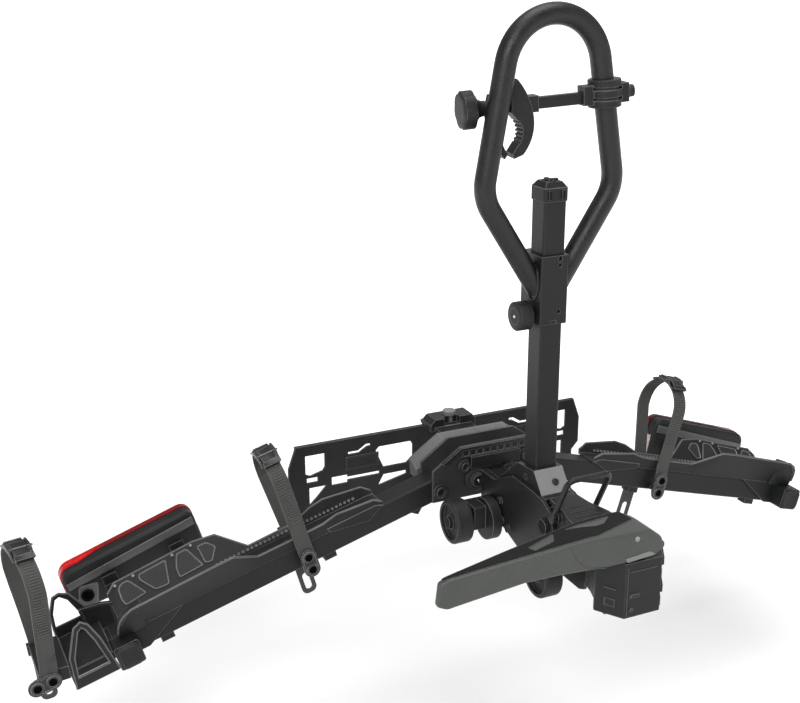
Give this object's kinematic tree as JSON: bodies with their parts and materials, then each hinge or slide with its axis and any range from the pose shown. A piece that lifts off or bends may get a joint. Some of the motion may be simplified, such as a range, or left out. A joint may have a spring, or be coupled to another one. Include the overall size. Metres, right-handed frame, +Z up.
{
  "type": "hitch bike rack",
  "caption": "Tow ball bike rack with fold-up tray wings, wheel straps, lamps, a plate holder and a folding mast with a loop and claw arm.",
  "frame": {"origin": "centre of the tow ball in the coupling's seat", "axes": "+X across the vehicle along the tray line, +Y away from the vehicle, +Z up"},
  "size_m": [1.4003, 0.6141, 0.9768],
  "materials": {
    "powder_coated_steel": "satin",
    "black_plastic": "satin",
    "grey_plastic": "satin",
    "light_grey_plastic": "satin",
    "dark_metal": "satin",
    "strap_rubber": "matt",
    "wheel_rubber": "matt",
    "red_lens": "gloss"
  },
  "bodies": {
    "coupling": {"coupling_housing": "powder_coated_steel", "lever_pin": "dark_metal", "neck_frame": "powder_coated_steel", "neck_cover": "black_plastic", "tilt_pin": "dark_metal", "front_axle": "dark_metal"},
    "coupling_clamp": {"coupling_jaw": "powder_coated_steel"},
    "lever": {"coupling_lever": "grey_plastic"},
    "bail": {"tilt_bail": "dark_metal"},
    "front_roller_left": {"front_wheel_left": "wheel_rubber"},
    "front_roller_right": {"front_wheel_right": "wheel_rubber"},
    "carrier": {"hub_plate_left": "powder_coated_steel", "hub_plate_right": "powder_coated_steel", "hub_spine": "powder_coated_steel", "mast_bracket": "powder_coated_steel", "wing_plate_front": "powder_coated_steel", "wing_plate_rear": "powder_coated_steel", "front_channel": "powder_coated_steel", "hub_fasteners": "dark_metal", "axle_carrier": "powder_coated_steel", "rear_axle": "dark_metal", "centre_cover": "grey_plastic", "plate_support": "powder_coated_steel", "latch_housing": "black_plastic"},
    "rear_roller_left": {"rear_wheel_left": "wheel_rubber"},
    "rear_roller_right": {"rear_wheel_right": "wheel_rubber"},
    "mast_release": {"mast_release_button": "black_plastic"},
    "left_wing_lock": {"wing_lock_button_left": "black_plastic"},
    "right_wing_lock": {"wing_lock_button_right": "black_plastic"},
    "plate_holder": {"number_plate_holder": "black_plastic"},
    "plate_latch": {"latch_knob": "light_grey_plastic"},
    "mast": {"mast_tube": "powder_coated_steel", "mast_cap": "black_plastic"},
    "slider": {"collar": "powder_coated_steel", "loop_frame": "powder_coated_steel"},
    "collar_screw": {"collar_knob": "black_plastic"},
    "bike_arm": {"arm_clamp": "black_plastic", "arm_bar": "powder_coated_steel", "claw_fixed_jaw": "black_plastic"},
    "claw": {"claw_moving_jaw": "black_plastic"},
    "claw_screw": {"claw_knob": "black_plastic"},
    "left_wing": {"wing_beam_left": "powder_coated_steel", "wheel_tray_left": "black_plastic", "end_block_left": "black_plastic", "lamp_arms_left": "powder_coated_steel", "lamp_housing_left": "black_plastic", "lamp_lens_left": "red_lens", "wheel_strap_left": "strap_rubber", "strap_buckle_left": "black_plastic"},
    "right_wing": {"wing_beam_right": "powder_coated_steel", "wheel_tray_right": "black_plastic", "end_block_right": "black_plastic", "lamp_arms_right": "powder_coated_steel", "lamp_housing_right": "black_plastic", "lamp_lens_right": "red_lens", "wheel_strap_right": "strap_rubber", "strap_buckle_right": "black_plastic"},
    "extension": {"tray_extension": "black_plastic", "wheel_strap_outer": "strap_rubber", "strap_buckle_outer": "black_plastic"}
  },
  "joints": [
    {"name": "lever_lift", "type": "hinge", "parent": "coupling", "child": "lever", "pos_m": [0.008, -0.022, 0.071], "axis": [0, 1, 0], "range_deg": [0, 80]},
    {"name": "jaw_release", "type": "slide", "parent": "coupling", "child": "coupling_clamp", "axis": [0, 1, 0], "range_m": [0, 0.0061]},
    {"name": "bail_push", "type": "hinge", "parent": "coupling", "child": "bail", "pos_m": [0, 0.121, 0.0385], "axis": [1, 0, 0], "range_deg": [0, 15], "stiffness_Nm_per_rad": 0.6, "springref_deg": -11.46},
    {"name": "front_roller_left_spin", "type": "hinge", "parent": "coupling", "child": "front_roller_left", "pos_m": [-0.056, 0.108, -0.036], "axis": [1, 0, 0], "continuous": true},
    {"name": "front_roller_right_spin", "type": "hinge", "parent": "coupling", "child": "front_roller_right", "pos_m": [0.056, 0.108, -0.036], "axis": [1, 0, 0], "continuous": true},
    {"name": "carrier_tilt", "type": "hinge", "parent": "coupling", "child": "carrier", "pos_m": [0, 0.15, 0.012], "axis": [-1, 0, 0], "range_deg": [0, 40]},
    {"name": "rear_roller_left_spin", "type": "hinge", "parent": "carrier", "child": "rear_roller_left", "pos_m": [-0.09, 0.306, -0.036], "axis": [1, 0, 0], "continuous": true},
    {"name": "rear_roller_right_spin", "type": "hinge", "parent": "carrier", "child": "rear_roller_right", "pos_m": [0.09, 0.306, -0.036], "axis": [1, 0, 0], "continuous": true},
    {"name": "mast_release_press", "type": "slide", "parent": "carrier", "child": "mast_release", "axis": [0, 0.7809, -0.6247], "range_m": [0, 0.002], "stiffness_N_per_m": 800, "springref_m": -0.002},
    {"name": "left_wing_lock_press", "type": "slide", "parent": "carrier", "child": "left_wing_lock", "axis": [0, 1, 0], "range_m": [0, 0.006], "stiffness_N_per_m": 500, "springref_m": -0.004},
    {"name": "right_wing_lock_press", "type": "slide", "parent": "carrier", "child": "right_wing_lock", "axis": [0, 1, 0], "range_m": [0, 0.006], "stiffness_N_per_m": 500, "springref_m": -0.004},
    {"name": "plate_holder_fold", "type": "hinge", "parent": "carrier", "child": "plate_holder", "pos_m": [0, 0.53, -0.088], "axis": [-1, 0, 0], "range_deg": [0, 90]},
    {"name": "plate_latch_lift", "type": "slide", "parent": "carrier", "child": "plate_latch", "axis": [0, 0, 1], "range_m": [0, 0.005], "stiffness_N_per_m": 300, "springref_m": -0.004},
    {"name": "mast_fold", "type": "hinge", "parent": "carrier", "child": "mast", "pos_m": [0, 0.215, 0.062], "axis": [-1, 0, 0], "range_deg": [0, 75]},
    {"name": "slider_height", "type": "slide", "parent": "mast", "child": "slider", "axis": [0, 0, 1], "range_m": [-0.085, 0.06]},
    {"name": "collar_screw_turn", "type": "hinge", "parent": "slider", "child": "collar_screw", "pos_m": [-0.035, 0.222, 0.309], "axis": [1, 0, 0], "range_deg": [0, 360]},
    {"name": "arm_swing", "type": "hinge", "parent": "slider", "child": "bike_arm", "pos_m": [0.08234, 0.215, 0.61], "axis": [-0.1736, 0, 0.9848], "range_deg": [-100, 0]},
    {"name": "claw_screw_turn", "type": "hinge", "parent": "bike_arm", "child": "claw_screw", "pos_m": [-0.10007, 0.24356, 0.59838], "axis": [-0.986, 0.1544, -0.0628], "range_deg": [-485, 0]},
    {"name": "claw_close", "type": "slide", "parent": "bike_arm", "child": "claw", "axis": [-0.986, 0.1544, -0.0628], "range_m": [-0.004, 0]},
    {"name": "left_wing_fold", "type": "hinge", "parent": "carrier", "child": "left_wing", "pos_m": [-0.096, 0.378, -0.004], "axis": [0, 1, 0], "range_deg": [0, 80]},
    {"name": "right_wing_fold", "type": "hinge", "parent": "carrier", "child": "right_wing", "pos_m": [0.096, 0.378, -0.004], "axis": [0, -1, 0], "range_deg": [0, 80]},
    {"name": "extension_pull", "type": "slide", "parent": "left_wing", "child": "extension", "axis": [-0.9613, 0, -0.2756], "range_m": [0, 0.09]}
  ],
  "couplings": [
    {"joint": "jaw_release", "follows": "lever_lift", "m_per_rad": 0.0042971},
    {"joint": "claw_screw_turn", "follows": "claw_close", "rad_per_m": 2094.4}
  ]
}
